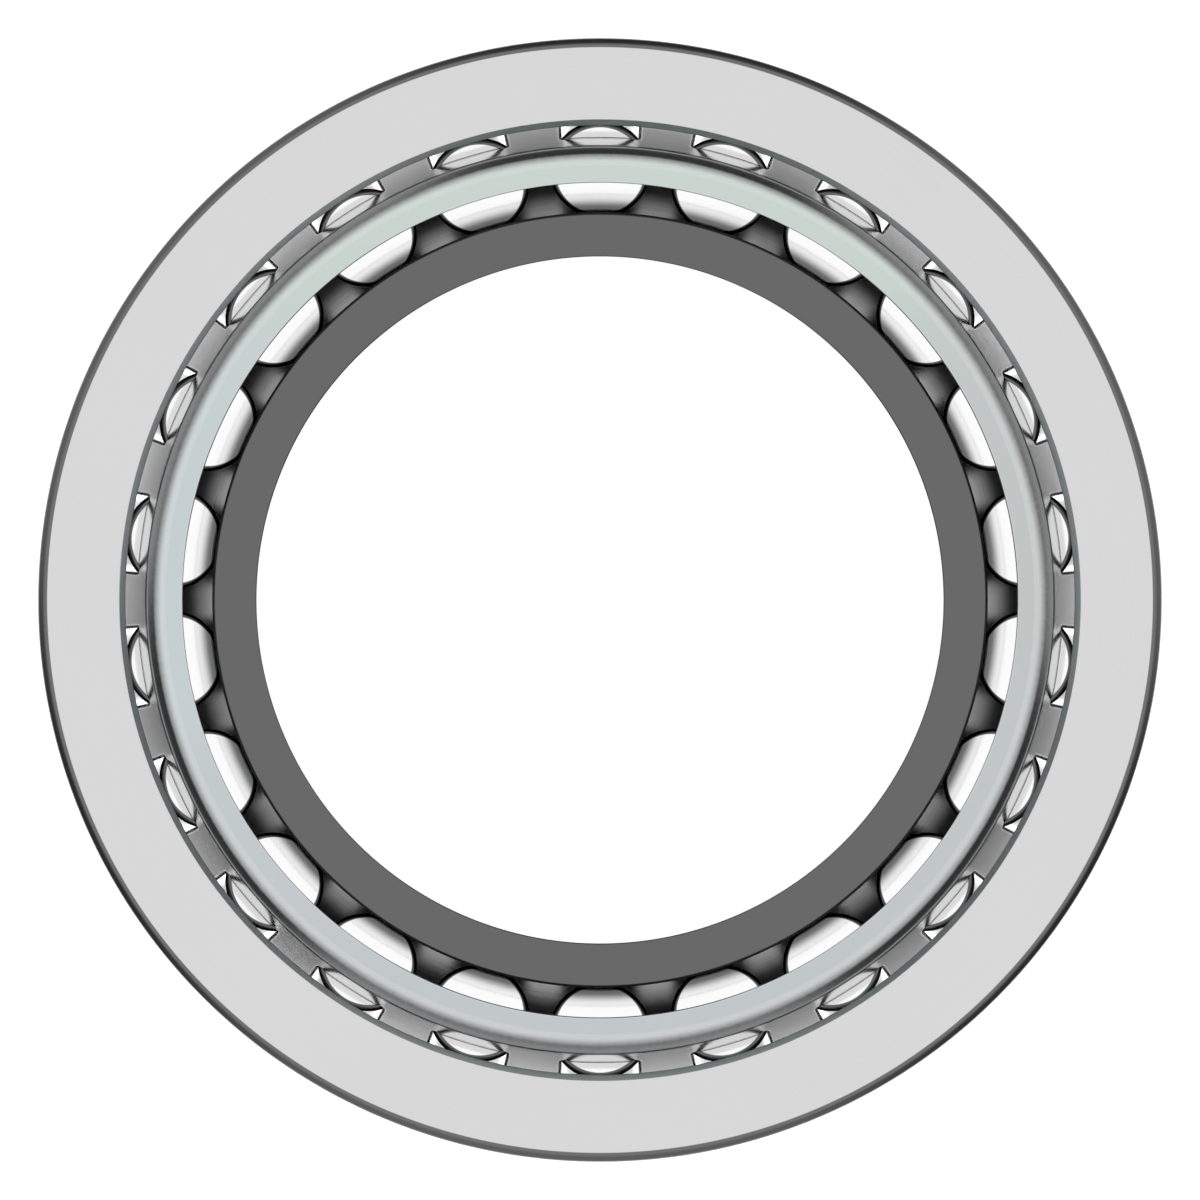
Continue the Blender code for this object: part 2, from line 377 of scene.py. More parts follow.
def outline(corners, closed=True):
    """The corners as points, each with the mark of its round or chamfer, which the finishes paint
    darker, partly as an unground surface and partly as painted shade, and which is 0 beside an edge. A
    closed outline starts on its first round, so that the side that closes it is a short one."""
    points = []
    for index, (here, cut, chords, skin_and_shade) in enumerate(corners):
        if not closed and index in (0, len(corners) - 1):
            points.append((here, 0.0))
            continue
        before = corners[index - 1][0]
        after = corners[(index + 1) % len(corners)][0]
        back, on = (before - here).normalized(), (after - here).normalized()
        half = back.angle(on) / 2
        middle = here + (back + on).normalized() * cut / cos(half)
        start, end = here + back * cut - middle, here + on * cut - middle
        points.append((here + back * (cut + HOLD), 0.0))
        arc = [middle + start.length * start.slerp(end, step / chords) for step in range(chords + 1)]
        if chords == 1:
            hold = (arc[1] - arc[0]).normalized() * HOLD
            arc = [arc[0], arc[0] + hold, arc[1] - hold, arc[1]]
        points += [(point, skin_and_shade) for point in arc]
        points.append((here + on * (cut + HOLD), 0.0))
    return points[1:] + points[:1] if closed else points


print("rounds in", ROUND, "chords, held by points", *in_mm(HOLD), "mm beside them")

# %% [markdown]
# An outline becomes an object of points and edges only, in the XZ plane, which the lathe turns. The
# two attributes that the finishes read are written here, so they come along into every face.

# %% Outlines as objects


def link(name, data):
    """A new object in the scene, at the origin."""
    made = bpy.data.objects.new(name, data)
    bpy.context.scene.collection.objects.link(made)
    return made


def add_numbers(mesh, name, values):
    """An attribute with a number for each point."""
    mesh.attributes.new(name, "FLOAT", "POINT").data.foreach_set("value", np.array(values, np.float32))


def outline_piece(name, points, closed=True):
    """An object with only the outline's edges, in the XZ plane, and its two attributes."""
    mesh = bpy.data.meshes.new(name)
    edges = [(index, index + 1) for index in range(len(points) - 1)]
    if closed:
        edges.append((len(points) - 1, 0))
    mesh.from_pydata([(point.x, 0.0, point.y) for point, _ in points], edges, [])
    steps = [(one[0] - next_one[0]).length / MM for one, next_one in zip(points, points[1:])]
    add_numbers(mesh, "outline_mm", np.append(0.0, np.cumsum(steps)))
    add_numbers(mesh, "edge", [mark for _, mark in points])
    return link(name, mesh)


print("ready: outlines with the attributes outline_mm and edge")

# %% [markdown]
# ## A lathe made of nodes
#
# The Screw modifier turns an outline too, but it can't put the piece in its place, and a roller
# lies on a slanted axis somewhere round the ring. A Geometry Nodes tree does all of it with named
# sizes: Curve to Mesh drags the outline round a circle, Merge by Distance closes the poles where
# the outline touches its axis, and two transforms lean the piece over and take it round the
# bearing. The result is kept as a plain mesh with its faces pointing out.

# %% The start and the end of a tree


def shape_tree(name, inputs):
    """A Geometry Nodes tree that takes a shape and these named sizes, and gives back a shape."""
    tree = bpy.data.node_groups.new(name, "GeometryNodeTree")
    tree.is_modifier = True
    tree.interface.new_socket("Shape", in_out="OUTPUT", socket_type="NodeSocketGeometry")
    for label, kind in [("Shape", "Geometry"), *inputs, ("Finish", "Material")]:
        tree.interface.new_socket(label, in_out="INPUT", socket_type="NodeSocket" + kind)
    given = tree.nodes.new("NodeGroupInput")
    labels = ["Shape", "Finish", *dict(inputs)]
    return tree, {label: Wire(pick(given.outputs, label)) for label in labels}


def end_tree(tree, shape, finish):
    """The end of every tree: doubles merged, smooth faces, no instances, and the finish."""
    whole = Wire.node(tree, "GeometryNodeRealizeInstances", sockets={0: shape})
    merged = Wire.node(tree, "GeometryNodeMergeByDistance", sockets={0: whole, "Distance": 0.001 * MM})
    smooth = Wire.node(tree, "GeometryNodeSetShadeSmooth", sockets={0: merged})
    real = Wire.node(tree, "GeometryNodeRealizeInstances", sockets={0: smooth})
    finished = Wire.node(tree, "GeometryNodeSetMaterial", sockets={0: real, "Material": finish})
    Wire.node(tree, "NodeGroupOutput", sockets={0: finished})


def turn_about(tree, letter, angle):
    """A rotation by an angle about one axis, X or Z."""
    return Wire.node(tree, "ShaderNodeCombineXYZ", sockets={letter: angle})


print("ready: trees that take and give back a shape")

# %% [markdown]
# The lathe is a row of nodes in the order of the work. The outline is laid on its side and moved in,
# because Curve to Mesh puts a profile at the edge of the circle. Swept round, it is the piece, which
# then leans over, is moved to its place, and is turned round the bearing.

# %% The lathe tree
SPINDLE = 10 * MM  # any radius does: the outline is moved in by it first, so it drops out again
SIZES = [("Steps", "Int"), ("Lean", "Float"), ("Place", "Vector"), ("Turn", "Float")]
lathe, given = shape_tree("Lathe", SIZES)


def lathe_node(kind, **sockets):
    """A Geometry Nodes node of the lathe. Its sockets are named with _ for a space."""
    named = {}
    for name, value in sockets.items():
        named[0 if name == "Geometry" else name.replace("_", " ")] = value
    return Wire.node(lathe, "GeometryNode" + kind, sockets=named)


on_its_side = {"Rotation": (pi / 2, 0, 0), "Translation": (-SPINDLE, 0, 0)}
flat = lathe_node("Transform", Geometry=given["Shape"], **on_its_side)
curve = lathe_node("MeshToCurve", Geometry=flat)
circle = lathe_node("CurvePrimitiveCircle", Resolution=given["Steps"], Radius=SPINDLE)
swept = lathe_node("CurveToMesh", Curve=circle, Profile_Curve=curve)
lean = turn_about(lathe, "X", given["Lean"])
leant = lathe_node("Transform", Geometry=swept, Rotation=lean, Translation=given["Place"])
turned = lathe_node("Transform", Geometry=leant, Rotation=turn_about(lathe, "Z", given["Turn"]))
end_tree(lathe, turned, given["Finish"])
print("the lathe has", len(lathe.nodes), "nodes and the sizes", [name for name, kind in SIZES])

# %% [markdown]
# A modifier runs a tree on a piece. Its sizes are set by each socket's identifier before the piece
# is first worked out, the result is kept as a plain mesh, and the modifier goes. Counting the open
# edges and the volume shows at once whether a piece is closed and the right way out.

# %% Run a tree and show the piece


def make(piece, tree, **sizes):
    """Runs a tree on a piece and keeps its result as a plain mesh, with its faces pointing out."""
    modifier = piece.modifiers.new(tree.name, "NODES")
    modifier.node_group = tree
    for item in tree.interface.items_tree:
        if item.in_out == "INPUT" and item.name in sizes:
            modifier[item.identifier] = sizes[item.name]
    bpy.context.view_layer.update()
    evaluated = piece.evaluated_get(bpy.context.evaluated_depsgraph_get())
    mesh = bpy.data.meshes.new_from_object(evaluated)
    piece.modifiers.remove(modifier)
    piece.data = mesh
    shape = bmesh.new()
    shape.from_mesh(mesh)
    bmesh.ops.recalc_face_normals(shape, faces=shape.faces)
    open_edges = sum(not edge.is_manifold for edge in shape.edges)
    volume = round(shape.calc_volume() * 1e6, 3)
    shape.to_mesh(mesh)
    shape.free()
    print(piece.name, len(mesh.polygons), "faces,", open_edges, "open edges,", volume, "cm3")
    return piece


def show(piece, body):
    """The piece rides on a body of the frame and is shown instead of the body's node."""
    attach(piece, body)
    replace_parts(piece, body)


print("ready: make a piece with a tree, and show it on its body")

# %% [markdown]
# ## The outer ring
#
# The outer ring, or cup, is a plain cone inside and a cylinder outside. Its thick end face is the
# back face, which looks up here, and its thin front face is lower than the inner ring's. The
# outside edges have a generous round, so that the ring starts into its housing without scraping,
# and the raceway runs out into the back face over a chamfer.

# %% Make the outer ring
OUTSIDE_ROUND = 0.7 * MM
FRONT_CHAMFER, BACK_CHAMFER = 0.3 * MM, 0.65 * MM
back_height, front_height = outer_high.z, outer_low.z
cup_outline = outline(
    [
        corner(outer_raceway(front_height), front_height, FRONT_CHAMFER, 1),
        corner(outer_raceway(back_height), back_height, BACK_CHAMFER, 1, 0.0),
        corner(OUTSIDE_RADIUS, back_height, OUTSIDE_ROUND, 10),
        corner(OUTSIDE_RADIUS, front_height, OUTSIDE_ROUND, 10),
    ]
)
cup = make(outline_piece("cup", cup_outline), lathe, Steps=STEPS, Finish=outer_steel)
show(cup, "outer_ring")

# %% [markdown]
# ## The inner ring
#
# The inner ring, or cone, has a rib at each end. The low front rib only keeps the rollers from
# falling off, and the high back rib carries their large ends, so its flank is square to their
# axes. At the foot of each rib there is a groove, in which the grinding wheel runs out.

# %% Make the inner ring
FRONT_RIB_FOOT = inner_high.z - 3.2 * MM
BACK_RIB_FOOT = 4.1 * MM
GROOVE, GROOVE_LENGTH = 0.3 * MM, 0.7 * MM
SMALL_END_GAP, LARGE_END_GAP = 0.4 * MM, 0.1 * MM
BACK_RIB_CHAMFER, BORE_ROUND = 0.4 * MM, 1.5 * MM


def end_plane(radius, side, gap):
    """Height at a radius of the plane across the rollers' ends, moved away from them by a gap. The
    side is 1 for the small ends and -1 for the large ends."""
    end_radius = MIDDLE_RADIUS - side * HALF_LENGTH * sin(TILT)
    end_height = roller_middle.z + side * HALF_LENGTH * cos(TILT)
    return end_height + side * gap / cos(TILT) + (radius - end_radius) * tan(TILT)


def groove(foot, direction):
    """The three corners of a groove between a rib's foot and the raceway."""
    floor = foot + direction * GROOVE_LENGTH
    end = floor + direction * GROOVE
    return [
        corner(inner_raceway(foot) - GROOVE, foot, 0.1 * MM, 4),
        corner(inner_raceway(floor) - GROOVE, floor, 0.1 * MM, 4),
        corner(inner_raceway(end), end, 0.05 * MM, 3, 0.0),
    ]


cone_outline = outline(
    [
        corner(BORE_RADIUS, inner_high.z, 0.12 * MM, 4, 0.0),
        corner(FRONT_RIB_RADIUS, inner_high.z, RIB_EDGE, 1, 0.3),
        corner(FRONT_RIB_RADIUS, end_plane(FRONT_RIB_RADIUS, 1, SMALL_END_GAP)),
        *groove(FRONT_RIB_FOOT, -1),
        *reversed(groove(BACK_RIB_FOOT, 1)),
        corner(BACK_RIB_RADIUS, end_plane(BACK_RIB_RADIUS, -1, LARGE_END_GAP), BACK_RIB_CHAMFER, 1),
        corner(BACK_RIB_RADIUS, inner_low.z, BACK_RIB_CHAMFER, 1),
        corner(BORE_RADIUS, inner_low.z, BORE_ROUND, 10),
    ]
)
cone = make(outline_piece("cone", cone_outline), lathe, Steps=STEPS, Finish=inner_steel)
show(cone, "inner_ring")

# %% [markdown]
# ## The rollers
#
# A roller is a slim cone with flat ends and rounded edges. All of them are the same turning, so one
# outline serves for all, and the lathe tree leans it by the rollers' tilt, moves it out to their
# circle, and takes each one round to its own place. Every roller spins on its own axis, so each is
# a piece of its own. Its side is polished so finely that it mirrors. The ends are only ground, and
# because the first millimetres of the outline are the small end and the last ones the large end,
# the attribute tells the ends from the side.

# %% The finish of a roller
END_ROUGH, SIDE_ROUGH = 0.12, 0.08
roller_steel, tree, shader, place = new_metal("roller, polished steel")
run, edge = attribute(tree, "outline_mm"), attribute(tree, "edge")
SIDE_MM = (SMALL_RADIUS + HALF_LENGTH) / MM
from_side = (run - SIDE_MM).maths("ABSOLUTE", run - SIDE_MM)
ends = ease(from_side, HALF_LENGTH / MM - 0.3, HALF_LENGTH / MM - 0.1)
lines = noise(tree, "1D", W=run, Scale=5.0, Detail=2.0)
film = noise(tree, "3D", Vector=place, Scale=120.0, Detail=2.0)
bright = mix(tree, lines * 0.5 + film * 0.5, (0.96,) * 3, (1.0,) * 3)
rough = ends * (END_ROUGH - SIDE_ROUGH) + SIDE_ROUGH + (lines - 0.5) * 0.04 + (film - 0.5) * 0.03
# The rounded edges are painted almost black: painted shade for the dark line along a roller's rounds.
finish_metal(tree, shader, mix(tree, edge, bright, (0.12,) * 3), rough, lines, 0.002 * MM, 0.1)
print("made:", roller_steel.name)

# %% Make the rollers
ROLLER_ROUND = 0.4 * MM
ROLLER_STEPS = 80
roller_outline = outline(
    [
        corner(0, HALF_LENGTH),
        corner(SMALL_RADIUS, HALF_LENGTH, ROLLER_ROUND, 8),
        corner(LARGE_RADIUS, -HALF_LENGTH, ROLLER_ROUND, 8),
        corner(0, -HALF_LENGTH),
    ],
    closed=False,
)
for index, body in enumerate(rollers):
    piece = outline_piece(f"tapered_{body}", roller_outline, closed=False)
    where = {"Lean": TILT, "Place": tuple(roller_middle), "Turn": -index * PITCH}
    make(piece, lathe, Steps=ROLLER_STEPS, Finish=roller_steel, **where)
    show(piece, body)

# %% [markdown]
# ## The cage, as a sheet
#
# The cage is pressed from one sheet: a cone with a pocket for each roller, and a flange bent in over
# the small ends. It is drawn here the way it is made. A point of the flat sheet has a turn round the
# bearing, a run in mm from the flange's edge, and a depth under the upper surface, and one function
# folds it into space. Whatever is drawn on the sheet then keeps the sheet's thickness everywhere,
# in the bend too, and every point lies exactly on the cone, which a Boolean cut would not give.

# %% Fold a sheet
SHEET = 1.0 * MM
BEND_RADIUS = 1.2 * MM
BEND_ANGLE = pi / 2 - OUTER_ANGLE
cage_low, cage_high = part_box("cage")
FLANGE_BORE = radii_at("cage", cage_high.z)[0]
rim_height = cage_low.z + SHEET * sin(OUTER_ANGLE)
wall_meets_top = cage_high.x - (cage_high.z - rim_height) * tan(OUTER_ANGLE)

bend_cut = BEND_RADIUS * tan(BEND_ANGLE / 2)
FLANGE = wall_meets_top - bend_cut - FLANGE_BORE
BEND = BEND_RADIUS * BEND_ANGLE
WALL = (cage_high.z - rim_height) / cos(OUTER_ANGLE) - bend_cut
RIM = FLANGE + BEND + WALL


def fold(turn, run, depth):
    """A point of the sheet, in space. A turn of 0 is at the first roller."""
    lean = min(max((run - FLANGE) / BEND_RADIUS, 0.0), BEND_ANGLE)
    down = max(run - FLANGE - BEND, 0.0)
    bent = BEND_RADIUS - depth
    radius = FLANGE_BORE + min(run, FLANGE) + bent * sin(lean) + down * cos(lean)
    height = cage_high.z - BEND_RADIUS + bent * cos(lean) - down * sin(lean)
    return Vector((radius * sin(turn), radius * cos(turn), height))


print("flange, bend and wall take", in_mm(FLANGE, BEND, WALL), "mm of the sheet")

# %% [markdown]
# ## A pocket
#
# A pocket is the shape of its roller with a little room all round, so its edge is found from the
# roller itself: along the sides, the turn at which the sheet is as far from the roller's axis as the
# pocket's radius, and at the ends, the run at which it is as far along the axis as the pocket's end.
# Both are found by halving, which needs no formula for where a slanted cone meets the sheet.

# %% Where the sheet meets a roller
POCKET_ROOM = 0.12 * MM
SMALL_END_ROOM = 0.2 * MM
LARGE_END_ROOM = 0.3 * MM


def halve(low, high, beyond):
    """The place between low and high where a test turns true."""
    for _ in range(36):
        middle = (low + high) / 2
        low, high = (low, middle) if beyond(middle) else (middle, high)
    return (low + high) / 2


def side_turn(run, depth, grown):
    """The turn at which a pocket's side crosses this run of the sheet."""

    def beyond(turn):
        away = fold(turn, run, depth) - roller_middle
        along_axis = away.dot(roller_axis)
        off_axis = (away - along_axis * roller_axis).length
        return off_axis > (APEX_DISTANCE - along_axis) * tan(TAPER) + POCKET_ROOM + grown

    return halve(0.0, PITCH / 2, beyond)


def end_run(turn, depth, end):
    """The run at which the sheet is this far along the roller's axis."""

    def beyond(run):
        return (fold(turn, run, depth) - roller_middle).dot(roller_axis) < end

    return halve(FLANGE + BEND, RIM, beyond)


half_way = (FLANGE + BEND + RIM) / 2
print("half way down, a pocket is", round(degrees(2 * side_turn(half_way, 0.0, 0.0)), 2), "degrees wide")

# %% [markdown]
# The outline of half a pocket runs from the middle of its small end to the middle of its large end,
# with soft corners, as a punch has. The outline at any depth, and grown by any width, comes from
# the same function, so the pocket's wall follows the roller through the sheet's thickness.

# %% Half a pocket
POCKET_CORNER = 0.5 * MM
END_PARTS, CORNER_PARTS, SIDE_PARTS = 5, 6, 18


def spread(start, end, parts):
    return [start + (end - start) * step / parts for step in range(parts + 1)]


def rounded(before, tip, after):
    """A soft corner from one point to another, past the tip between them."""
    return [
        tuple((1 - s) ** 2 * a + 2 * s * (1 - s) * b + s**2 * c for a, b, c in zip(before, tip, after))
        for s in spread(0.0, 1.0, CORNER_PARTS)
    ]


def pocket_corner(depth, grown, end, way):
    """Where a corner leaves the pocket's end, its sharp tip, and where it joins the side."""
    run = end_run(0.0, depth, end)
    for _ in range(4):
        turn = side_turn(run, depth, grown)
        run = end_run(turn, depth, end)
    on_end = turn - (POCKET_CORNER + grown) / fold(turn, run, depth).xy.length
    on_side = run + way * (POCKET_CORNER + grown)
    leaves = on_end, end_run(on_end, depth, end)
    joins = side_turn(on_side, depth, grown), on_side
    return leaves, (turn, run), joins


def pocket_half(depth, grown):
    """Half of a pocket's outline, as pairs of turn and run."""
    top, foot = HALF_LENGTH + SMALL_END_ROOM + grown, -HALF_LENGTH - LARGE_END_ROOM - grown
    small_end, small_tip, small_side = pocket_corner(depth, grown, top, 1)
    large_end, large_tip, large_side = pocket_corner(depth, grown, foot, -1)
    half = [(turn, end_run(turn, depth, top)) for turn in spread(0.0, small_end[0], END_PARTS)]
    half += rounded(small_end, small_tip, small_side)[1:]
    runs = spread(small_side[1], large_side[1], SIDE_PARTS)
    half += [(side_turn(run, depth, grown), run) for run in runs[1:]]
    half += rounded(large_side, large_tip, large_end)[1:]
    half += [(turn, end_run(turn, depth, foot)) for turn in spread(large_end[0], 0.0, END_PARTS)[1:]]
    return half


POCKET_TOP, POCKET_FOOT = pocket_half(0.0, 0.0)[0][1], pocket_half(0.0, 0.0)[-1][1]
print("a pocket runs from and to", in_mm(POCKET_TOP, POCKET_FOOT), "mm of the", *in_mm(RIM), "mm sheet")

# %% [markdown]
# ## Sheared edges
#
# A sheared edge has a small round. The same few points of it serve for the sheet's own two edges,
# where they go round from the upper surface to the lower one, and for the pockets, whose outline
# grows as the depth gets less.

# %% Round a sheared edge
EDGE = 0.12 * MM
EDGE_PARTS = 4


def edge_round():
    """The round of a sheared edge, as pairs of its distance from the cut wall and its depth."""
    angles = spread(0.0, pi / 2, EDGE_PARTS)
    return [(EDGE * (1 - sin(angle)), EDGE * (1 - cos(angle))) for angle in angles]


def over_the_edge(end, way):
    """Run, depth and edge mark from the upper surface over the sheet's end to the lower one. The
    way is the direction along the run that leads into the sheet."""
    upper = [(end + way * inset, depth, 1.0) for inset, depth in edge_round()]
    lower = [(run, SHEET - depth, mark) for run, depth, mark in reversed(upper)]
    hold = EDGE + HOLD
    middle = [(end, hold, 0.0), (end, SHEET - hold, 0.0)]
    return [(end + way * hold, 0.0, 0.0), *upper, *middle, *lower, (end + way * hold, SHEET, 0.0)]


print("a sheared edge has", len(over_the_edge(RIM, -1)), "points from surface to surface")

# %% [markdown]
# ## One pitch of the cage
#
# One pitch of the sheet is made of three patches of faces that share their borders: the flange with
# its bend, the band at the rim, and between them a frame round the pocket. The flange and the rim
# are each one line of points, which is drawn at every turn. The frame's border goes from the middle
# of the flange's side down the middle of a bar to the rim's side, point for point with the pocket.

# %% The lines of the flange and the rim, and the frame's border
ABOVE = POCKET_TOP - 1.0 * MM
BELOW = POCKET_FOOT + 1.0 * MM
bend_runs = spread(FLANGE, FLANGE + BEND, 12)
to_bend = [0.6 * FLANGE, FLANGE - HOLD, *bend_runs, FLANGE + BEND + HOLD, ABOVE]
flange_line = [(run, SHEET, 0.0) for run in reversed(to_bend)]
flange_line += reversed(over_the_edge(0.0, 1))
flange_line += [(run, 0.0, 0.0) for run in to_bend]
rim_line = [(BELOW, 0.0, 0.0), *over_the_edge(RIM, -1), (BELOW, SHEET, 0.0)]

side_parts = SIDE_PARTS + CORNER_PARTS
top_parts = END_PARTS + CORNER_PARTS // 2
top_turns = spread(0.0, PITCH / 2, top_parts)
border = [(turn, ABOVE) for turn in top_turns]
border += [(PITCH / 2, run) for run in spread(ABOVE, BELOW, side_parts)[1:]]
border += [(turn, BELOW) for turn in reversed(top_turns[:-1])]
print("lines of", len(flange_line), "and", len(rim_line), "points, half a border of", len(border))

# %% [markdown]
# The frame is a stack of loops: from the border in to the pocket on the upper surface, over the
# round, down the pocket's wall, and back out to the border on the lower surface.

# %% The loops of the frame


def between(first, second, share):
    return [tuple(a + (b - a) * share for a, b in zip(one, two)) for one, two in zip(first, second)]


def pocket_loops():
    """Half loops of turn, run and depth, from the border over the pocket's edge and back to the
    border on the lower surface, each with its edge mark."""
    loops = []
    for surface, into in ((0.0, 1), (SHEET, -1)):
        near = pocket_half(surface, EDGE + HOLD)
        side = [(between(border, near, share), surface, 0.0) for share in (0.0, 0.35, 0.7, 1.0)]
        for inset, depth in edge_round():
            level = surface + into * depth
            side.append((pocket_half(level, inset), level, 1.0))
        level = surface + into * (EDGE + HOLD)
        side.append((pocket_half(level, 0.0), level, 0.0))
        loops += side if into == 1 else reversed(side)
    return loops


loops = pocket_loops()
print("the frame has", len(loops), "loops of", 2 * len(border) - 2, "points")

# %% [markdown]
# Each patch is a grid, so four neighbours make a face. The grids are folded point by point as they
# are laid, and each point keeps its run and its edge mark for the finish.

# %% Lay the faces


class Patchwork:
    """Grids of points of the sheet, with the faces between them."""

    def __init__(self):
        self.points, self.marks, self.runs, self.faces = [], [], [], []

    def add(self, rows, closed):
        """Rows of (turn, run, depth, mark). In a closed grid the last column joins the first."""
        first, columns = len(self.points), len(rows[0])
        for row in rows:
            for turn, run, depth, mark in row:
                self.points.append(fold(turn, run, depth))
                self.marks.append(mark)
                self.runs.append(run / MM)
        for low in range(len(rows) - 1):
            for left in range(columns if closed else columns - 1):
                right = (left + 1) % columns
                a, b = first + low * columns, first + (low + 1) * columns
                self.faces.append((a + left, a + right, b + right, b + left))


sheet = Patchwork()
all_turns = [-turn for turn in reversed(top_turns[1:])] + top_turns
for line in (flange_line, rim_line):
    sheet.add([[(turn, *point) for turn in all_turns] for point in line], closed=False)
frame_rows = []
for half, depth, mark in loops:
    whole = half + [(-turn, run) for turn, run in reversed(half[1:-1])]
    frame_rows.append([(turn, run, depth, mark) for turn, run in whole])
sheet.add(frame_rows, closed=True)
print("one pitch of the cage:", len(sheet.faces), "faces")

# %% [markdown]
# ## The whole cage
#
# The pitch is repeated round the bearing by a Geometry Nodes tree: one point for each roller, a copy
# of the pitch on each, turned by its number times the pitch, then the copies made real and their
# shared borders merged. The cage is then one closed piece, as the real pressing is.

# %% Repeat the pitch
ring, given = shape_tree("Ring of pitches", [("Count", "Int"), ("Pitch", "Float")])
places = Wire.node(ring, "GeometryNodePoints", sockets={"Count": given["Count"]})
number = Wire.node(ring, "GeometryNodeInputIndex")
turns = turn_about(ring, "Z", number * given["Pitch"])
copies = Wire.node(
    ring,
    "GeometryNodeInstanceOnPoints",
    sockets={"Points": places, "Instance": given["Shape"], "Rotation": turns},
)
end_tree(ring, copies, given["Finish"])
print("the ring tree has", len(ring.nodes), "nodes")

# %% [markdown]
# ## The finish of pressed sheet
#
# Cold rolled sheet has a fine even grain, not the rings of a turned piece, and the press leaves it
# glossy. The edges of the pockets are lighter, partly as metal that the shearing tool rubs bright and
# partly as a painted highlight. An outer band of the flange has a painted light, a little brighter,
# and the bend has a painted shade, a dark band. A thin film of oil and oxide gives the flange a
# faint tint that drifts round the ring, from cyan to grey and from green to blue.

# %% Pressed steel
CYAN, GREY = (0.56, 0.625, 0.64), (0.53, 0.555, 0.55)
GREEN, BLUE = (0.585, 0.665, 0.62), (0.54, 0.57, 0.59)
cage_steel, tree, shader, place = new_metal("cage, pressed sheet steel")
run, edge = attribute(tree, "outline_mm"), attribute(tree, "edge")
grain = noise(tree, "3D", Vector=place, Scale=2600.0, Detail=2.0)
film = noise(tree, "3D", Vector=place, Scale=40.0, Detail=3.0)
shift = (film - 0.5) * (60 * MM)
x, y = (Wire.node(tree, "ShaderNodeSeparateXYZ", sockets={0: place}, out=out) + shift for out in "XY")
tint = mix(tree, ease(x, -FLANGE_BORE, FLANGE_BORE), CYAN, GREY)
tint = mix(tree, ease(y, 0.0, FLANGE_BORE), tint, GREEN)
tint = mix(tree, ease(y, 0.0, -FLANGE_BORE), tint, BLUE)

# %% [markdown]
# The run from the flange's edge tells where a point lies on the sheet. The wall has a plain grey, the
# bend has a painted shade, darker, and an outer band of the flange a painted light, a little brighter.
# The lighter edges, partly rubbed bright and partly a painted highlight, come from the second attribute.

# %% Pressed steel, by its place on the sheet
wall = ease(run, FLANGE / MM, (FLANGE + BEND) / MM)
# An outer band of the flange, painted a little brighter: painted light.
painted_flange_light = ease(run, 1.3, 1.45) * 0.25 * (1 - wall)
# A band over the bend, painted dark: painted shade.
painted_bend_shade = ease(run, 0.9 * FLANGE / MM, (FLANGE + 0.3 * BEND) / MM)
painted_bend_shade = painted_bend_shade * ease(run, (FLANGE + 1.1 * BEND) / MM, (FLANGE + 0.2 * BEND) / MM)
plain = mix(tree, painted_bend_shade, mix(tree, wall, tint, (0.60, 0.60, 0.605)), (0.12, 0.125, 0.125))
# The edges are painted lighter, partly as rubbed bright metal and partly as a painted highlight.
base = mix(tree, edge * 0.35 + painted_flange_light + (grain - 0.5) * 0.2, plain, (0.74, 0.75, 0.75))
rough = (grain - 0.5) * 0.12 + film * 0.08 + 0.12 - edge * 0.04
finish_metal(tree, shader, base, rough, grain, 0.003 * MM, 0.25)
print("made:", cage_steel.name)

# %% Make the cage
mesh = bpy.data.meshes.new("cage_sheet")
mesh.from_pydata(sheet.points, [], sheet.faces)
add_numbers(mesh, "outline_mm", sheet.runs)
add_numbers(mesh, "edge", sheet.marks)
cage_sheet = make(link("cage_sheet", mesh), ring, Count=len(rollers), Pitch=-PITCH, Finish=cage_steel)
show(cage_sheet, "cage")

# %% [markdown]
# ## Compare with the frame
#
# Each fine piece has to fill the same box as the node that it stands for. The nodes have fewer
# facets, so their boxes may be a few hundredths of a millimetre smaller.

# %% Compare the boxes
for piece in (cup, cone, cage_sheet, bpy.data.objects["tapered_" + rollers[0]]):
    points = np.array([vertex.co for vertex in piece.data.vertices], float)
    low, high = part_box(piece["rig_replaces"][0])
    gaps = np.append(points.min(0) - np.array(low), points.max(0) - np.array(high))
    print(piece.name, "differs from its node by at most", *in_mm(abs(gaps).max()), "mm")

# %% [markdown]
# ## The studio
#
# Polished metal shows what is round it, so the light is the look. The studio is a white ceiling
# right above, which the flat faces mirror, and grey walls with three dark screens between them,
# which draw dark lines along the rounded edges. A lamp under the bearing lights the slanted
# raceways and the cage's wall from below, by way of one more mirroring. All of it is the world's
# own shading, a brightness for each direction, so nothing stands in the way of the camera.

# %% The world
CEILING_EDGE = cos(radians(50)), cos(radians(35))
SCREENS, FIRST_SCREEN = 3, radians(85)
SCREEN_EDGE, LAMP_EDGE = (-0.2, 0.6), (0.6, 0.8)
WALL_LIGHT, SCREEN_LIGHT, LOW_LIGHT = 0.65, 0.10, 1.90
world = bpy.data.worlds.new("studio")
world.use_nodes = True
bpy.context.scene.world = world
tree = world.node_tree
way = Wire.node(tree, "ShaderNodeTexCoord", out="Generated")
x, y, up = (Wire.node(tree, "ShaderNodeSeparateXYZ", sockets={0: way}, out=out) for out in "XYZ")

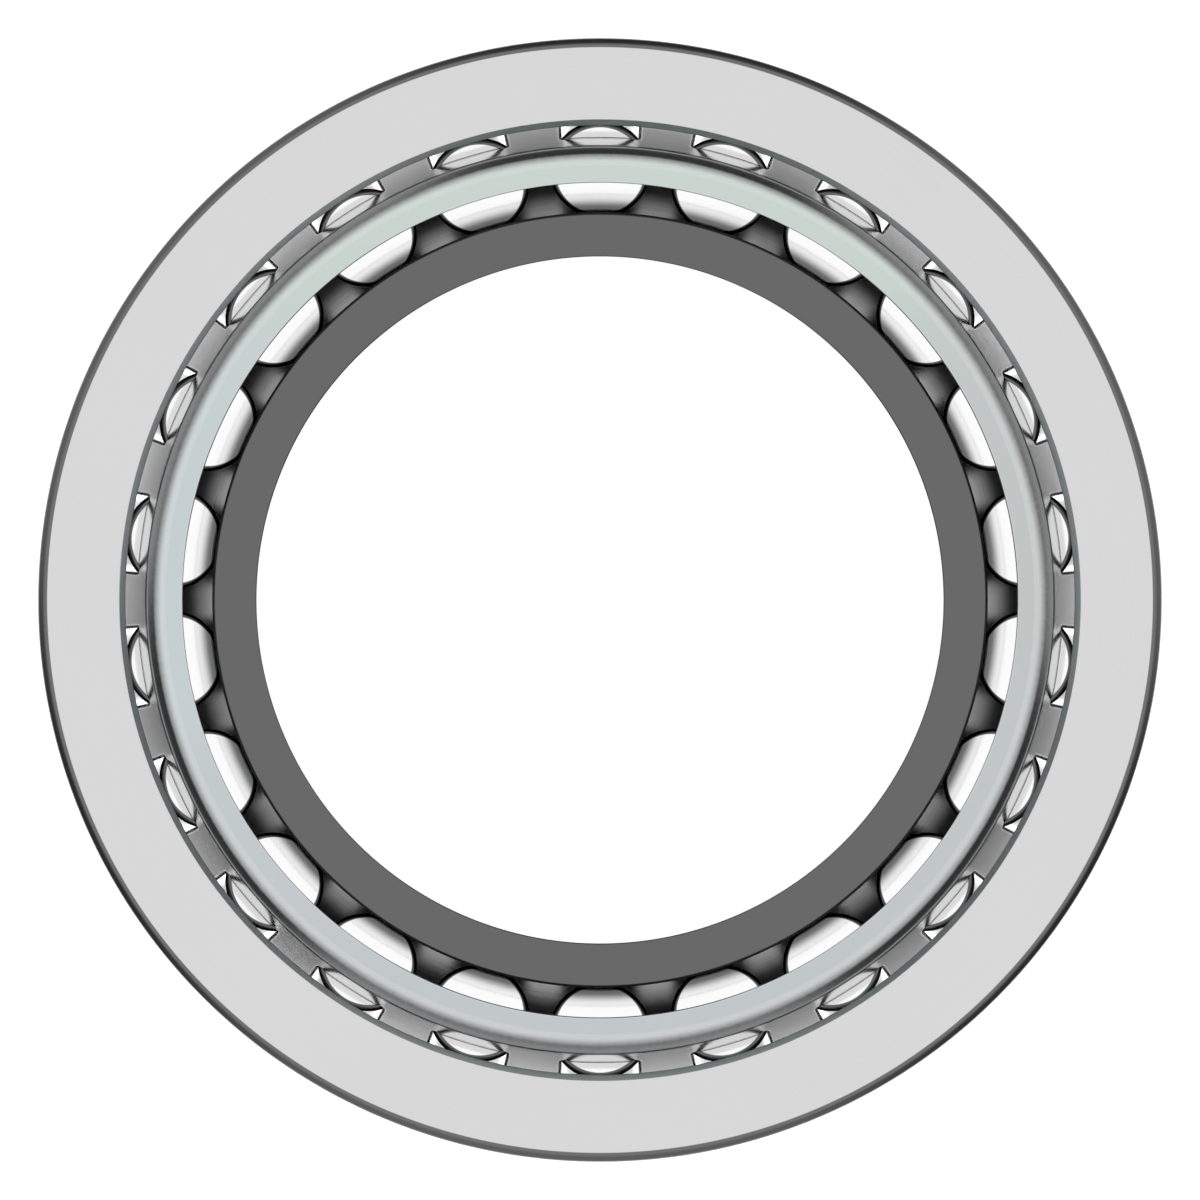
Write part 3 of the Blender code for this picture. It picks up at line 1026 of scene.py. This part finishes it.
ceiling = ease(up, *CEILING_EDGE)
around = (y.maths("ARCTAN2", y, x) - FIRST_SCREEN) * SCREENS
screens = ease(around.maths("COSINE", around), *SCREEN_EDGE)
lamp = ease(up * -1, *LAMP_EDGE)
walls = WALL_LIGHT - screens * (WALL_LIGHT - SCREEN_LIGHT) + lamp * (LOW_LIGHT - WALL_LIGHT)
light = ceiling + (1 - ceiling) * walls
background = tree.nodes["Background"]
tree.links.new(light.socket, background.inputs["Strength"])
background.inputs["Color"].default_value = (1.0, 1.0, 1.0, 1.0)
print("the studio's light is made of", len(tree.nodes), "nodes")

# %% [markdown]
# The bearing lies on a plain white table. It glows a little, so that it stays white between the
# bearing's shadows, and the metal doesn't mirror it, because the world's own lamp lights from there.
# It lies a hair below the back face, since two faces in one plane would flicker.

# %% The table
TABLE, TABLE_TOP = 3.0, -0.05 * MM
table_mesh = bpy.data.meshes.new("table")
sides = [(-1, -1), (1, -1), (1, 1), (-1, 1)]
table_points = [(x * TABLE / 2, y * TABLE / 2, TABLE_TOP) for x, y in sides]
table_mesh.from_pydata(table_points, [], [(0, 1, 2, 3)])
table = link("table", table_mesh)
paper = bpy.data.materials.new("white table")
paper.use_nodes = True
white = paper.node_tree.nodes["Principled BSDF"]
white.inputs["Base Color"].default_value = (0.8, 0.8, 0.8, 1.0)
white.inputs["Roughness"].default_value = 1.0
white.inputs["Specular IOR Level"].default_value = 0.0
white.inputs["Emission Color"].default_value = (1.0, 1.0, 1.0, 1.0)
white.inputs["Emission Strength"].default_value = 0.8
table_mesh.materials.append(paper)
table.visible_glossy = False
table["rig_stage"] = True
print("table", TABLE, "m wide")

# %% [markdown]
# The camera looks straight down the bearing's axis, without perspective, so that every circle stays
# a circle and the rings hide nothing of the rollers between them.

# %% The camera
eye = bpy.data.cameras.new("camera")
eye.type = "ORTHO"
eye.ortho_scale = 96.085 * MM
camera = link("camera", eye)
camera.location = (0, 0, 0.5)
bpy.context.scene.camera = camera
bpy.context.scene.view_settings.view_transform = "Standard"
print("camera straight above, its frame", *in_mm(eye.ortho_scale), "mm wide")

# %% [markdown]
# The last cell prints the size of what is shown.

# %% Finish
low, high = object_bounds()
print("shown:", in_mm(*(high - low)), "mm")
